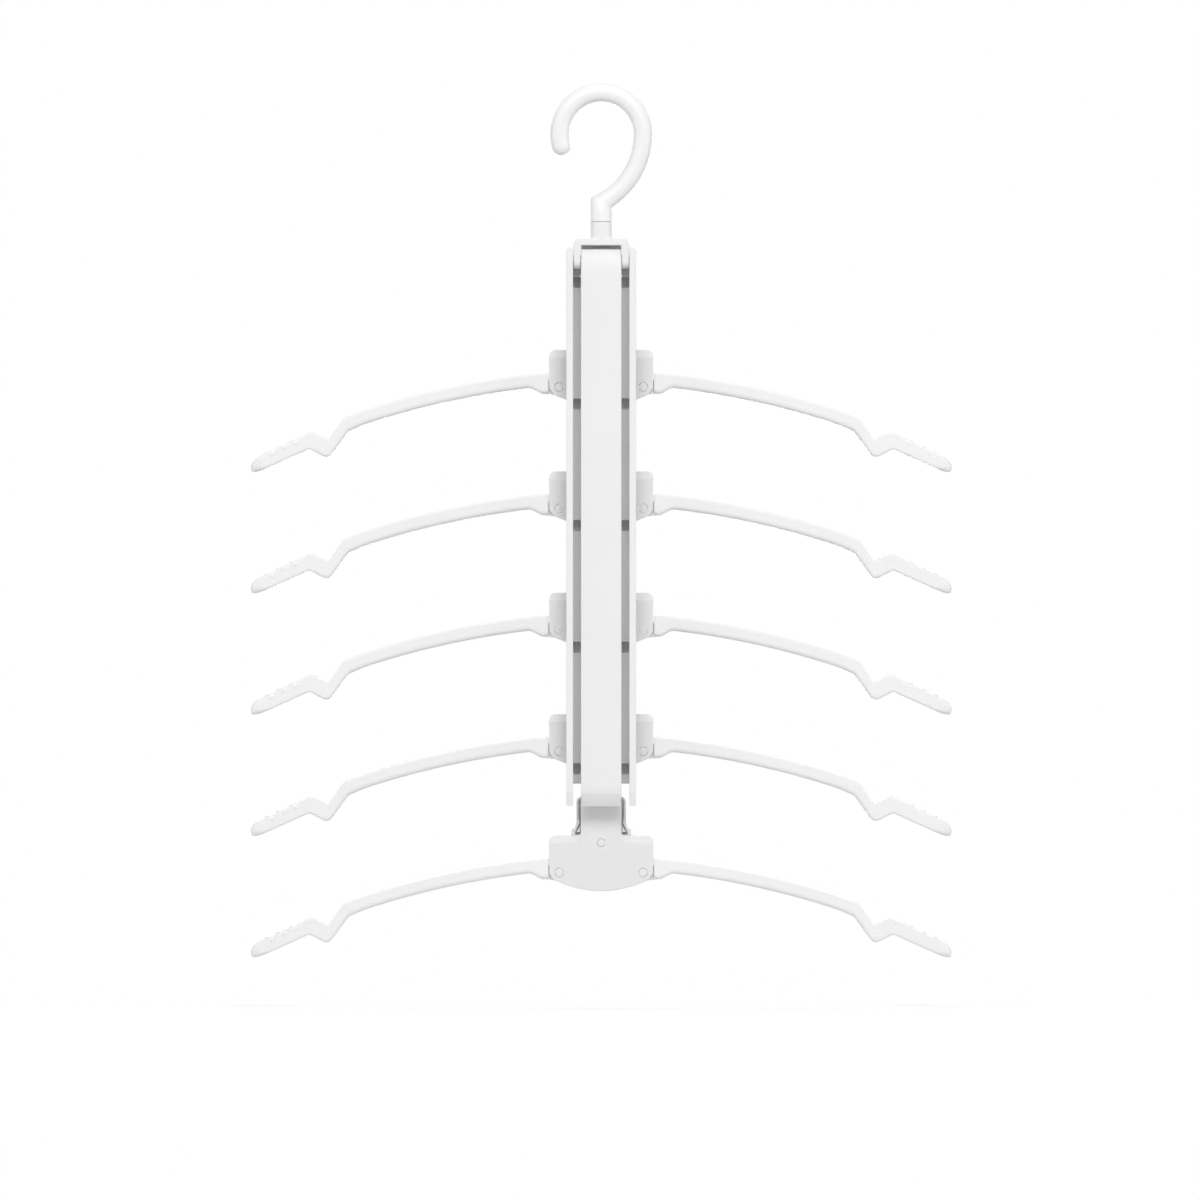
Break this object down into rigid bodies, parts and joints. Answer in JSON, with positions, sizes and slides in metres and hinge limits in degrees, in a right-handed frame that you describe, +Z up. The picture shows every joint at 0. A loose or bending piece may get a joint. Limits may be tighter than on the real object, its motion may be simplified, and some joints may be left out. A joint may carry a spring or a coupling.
{
  "type": "space-saving hanger",
  "caption": "White plastic tiered clothes hanger: swivel hook, slim slotted column and folding arm pairs with strap notches, on brackets that swing behind the column.",
  "frame": {"origin": "crown inside the hook, where the closet rod bears, in the hook's middle plane", "axes": "+Z up along the column, +X to the right seen from the front, front towards -Y"},
  "size_m": [0.401, 0.0309, 0.4973],
  "materials": {
    "hook_white": "satin moulded",
    "shell_white": "fine matt",
    "bar_white": "fine matt",
    "arm_white": "satin moulded",
    "pin_white": "satin",
    "steel": "bright zinc"
  },
  "bodies": {
    "hook": {"hook": "hook_white", "swivel_ring": "steel"},
    "yoke": {"yoke": "hook_white"},
    "column": {"column_channel": "shell_white", "front_bar": "bar_white", "yoke_pin": "steel", "bar_screw_1": "steel", "bar_screw_2": "steel", "bar_screw_3": "steel", "bar_screw_4": "steel", "hinge_pin_1": "steel", "hinge_pin_2": "steel", "hinge_pin_3": "steel", "hinge_pin_4": "steel", "hinge_pin_5": "steel"},
    "tier_1": {"bracket_front_1": "shell_white", "bracket_rear_1": "shell_white", "bracket_rivet_1": "pin_white", "arm_spring_1": "steel", "arm_pin_left_1": "pin_white", "arm_pin_right_1": "pin_white"},
    "arm_left_1": {"arm_left_1": "arm_white"},
    "arm_right_1": {"arm_right_1": "arm_white"},
    "tier_2": {"bracket_front_2": "shell_white", "bracket_rear_2": "shell_white", "bracket_rivet_2": "pin_white", "arm_spring_2": "steel", "arm_pin_left_2": "pin_white", "arm_pin_right_2": "pin_white"},
    "arm_left_2": {"arm_left_2": "arm_white"},
    "arm_right_2": {"arm_right_2": "arm_white"},
    "tier_3": {"bracket_front_3": "shell_white", "bracket_rear_3": "shell_white", "bracket_rivet_3": "pin_white", "arm_spring_3": "steel", "arm_pin_left_3": "pin_white", "arm_pin_right_3": "pin_white"},
    "arm_left_3": {"arm_left_3": "arm_white"},
    "arm_right_3": {"arm_right_3": "arm_white"},
    "tier_4": {"bracket_front_4": "shell_white", "bracket_rear_4": "shell_white", "bracket_rivet_4": "pin_white", "arm_spring_4": "steel", "arm_pin_left_4": "pin_white", "arm_pin_right_4": "pin_white"},
    "arm_left_4": {"arm_left_4": "arm_white"},
    "arm_right_4": {"arm_right_4": "arm_white"},
    "tier_5": {"bracket_front_5": "shell_white", "bracket_rear_5": "shell_white", "bracket_rivet_5": "pin_white", "arm_spring_5": "steel", "arm_pin_left_5": "pin_white", "arm_pin_right_5": "pin_white"},
    "arm_left_5": {"arm_left_5": "arm_white"},
    "arm_right_5": {"arm_right_5": "arm_white"}
  },
  "joints": [
    {"name": "hook_swivel", "type": "hinge", "parent": "hook", "child": "yoke", "pos_m": [0, 0, -0.06842], "axis": [0, 0, 1], "continuous": true},
    {"name": "yoke_tilt", "type": "hinge", "parent": "yoke", "child": "column", "pos_m": [0, 0, -0.09022], "axis": [-1, 0, 0], "range_deg": [0, 90]},
    {"name": "tier_1_swing", "type": "hinge", "parent": "column", "child": "tier_1", "pos_m": [0, 0.0173, -0.10842], "axis": [1, 0, 0], "range_deg": [0, 90]},
    {"name": "arm_left_1_fold", "type": "hinge", "parent": "tier_1", "child": "arm_left_1", "pos_m": [-0.0239, 0.0194, -0.16182], "axis": [0, -1, 0], "range_deg": [0, 50], "stiffness_Nm_per_rad": 0.12, "springref_deg": -85.94},
    {"name": "arm_right_1_fold", "type": "hinge", "parent": "tier_1", "child": "arm_right_1", "pos_m": [0.0239, 0.0194, -0.16182], "axis": [0, 1, 0], "range_deg": [0, 50], "stiffness_Nm_per_rad": 0.12, "springref_deg": -85.94},
    {"name": "tier_2_swing", "type": "hinge", "parent": "column", "child": "tier_2", "pos_m": [0, 0.0173, -0.17762], "axis": [1, 0, 0], "range_deg": [0, 90]},
    {"name": "arm_left_2_fold", "type": "hinge", "parent": "tier_2", "child": "arm_left_2", "pos_m": [-0.0239, 0.0194, -0.23102], "axis": [0, -1, 0], "range_deg": [0, 50], "stiffness_Nm_per_rad": 0.12, "springref_deg": -85.94},
    {"name": "arm_right_2_fold", "type": "hinge", "parent": "tier_2", "child": "arm_right_2", "pos_m": [0.0239, 0.0194, -0.23102], "axis": [0, 1, 0], "range_deg": [0, 50], "stiffness_Nm_per_rad": 0.12, "springref_deg": -85.94},
    {"name": "tier_3_swing", "type": "hinge", "parent": "column", "child": "tier_3", "pos_m": [0, 0.0173, -0.24682], "axis": [1, 0, 0], "range_deg": [0, 90]},
    {"name": "arm_left_3_fold", "type": "hinge", "parent": "tier_3", "child": "arm_left_3", "pos_m": [-0.0239, 0.0194, -0.30022], "axis": [0, -1, 0], "range_deg": [0, 50], "stiffness_Nm_per_rad": 0.12, "springref_deg": -85.94},
    {"name": "arm_right_3_fold", "type": "hinge", "parent": "tier_3", "child": "arm_right_3", "pos_m": [0.0239, 0.0194, -0.30022], "axis": [0, 1, 0], "range_deg": [0, 50], "stiffness_Nm_per_rad": 0.12, "springref_deg": -85.94},
    {"name": "tier_4_swing", "type": "hinge", "parent": "column", "child": "tier_4", "pos_m": [0, 0.0173, -0.31602], "axis": [1, 0, 0], "range_deg": [0, 90]},
    {"name": "arm_left_4_fold", "type": "hinge", "parent": "tier_4", "child": "arm_left_4", "pos_m": [-0.0239, 0.0194, -0.36942], "axis": [0, -1, 0], "range_deg": [0, 50], "stiffness_Nm_per_rad": 0.12, "springref_deg": -85.94},
    {"name": "arm_right_4_fold", "type": "hinge", "parent": "tier_4", "child": "arm_right_4", "pos_m": [0.0239, 0.0194, -0.36942], "axis": [0, 1, 0], "range_deg": [0, 50], "stiffness_Nm_per_rad": 0.12, "springref_deg": -85.94},
    {"name": "tier_5_swing", "type": "hinge", "parent": "column", "child": "tier_5", "pos_m": [0, 0.0173, -0.38522], "axis": [1, 0, 0], "range_deg": [0, 90]},
    {"name": "arm_left_5_fold", "type": "hinge", "parent": "tier_5", "child": "arm_left_5", "pos_m": [-0.0239, 0.0194, -0.43862], "axis": [0, -1, 0], "range_deg": [0, 50], "stiffness_Nm_per_rad": 0.12, "springref_deg": -85.94},
    {"name": "arm_right_5_fold", "type": "hinge", "parent": "tier_5", "child": "arm_right_5", "pos_m": [0.0239, 0.0194, -0.43862], "axis": [0, 1, 0], "range_deg": [0, 50], "stiffness_Nm_per_rad": 0.12, "springref_deg": -85.94}
  ],
  "couplings": [
    {"joint": "arm_left_1_fold", "follows": "arm_right_1_fold", "ratio": 1},
    {"joint": "arm_left_2_fold", "follows": "arm_right_1_fold", "ratio": 1},
    {"joint": "arm_right_2_fold", "follows": "arm_right_1_fold", "ratio": 1},
    {"joint": "arm_left_3_fold", "follows": "arm_right_1_fold", "ratio": 1},
    {"joint": "arm_right_3_fold", "follows": "arm_right_1_fold", "ratio": 1},
    {"joint": "arm_left_4_fold", "follows": "arm_right_1_fold", "ratio": 1},
    {"joint": "arm_right_4_fold", "follows": "arm_right_1_fold", "ratio": 1},
    {"joint": "arm_left_5_fold", "follows": "arm_right_1_fold", "ratio": 1},
    {"joint": "arm_right_5_fold", "follows": "arm_right_1_fold", "ratio": 1}
  ]
}
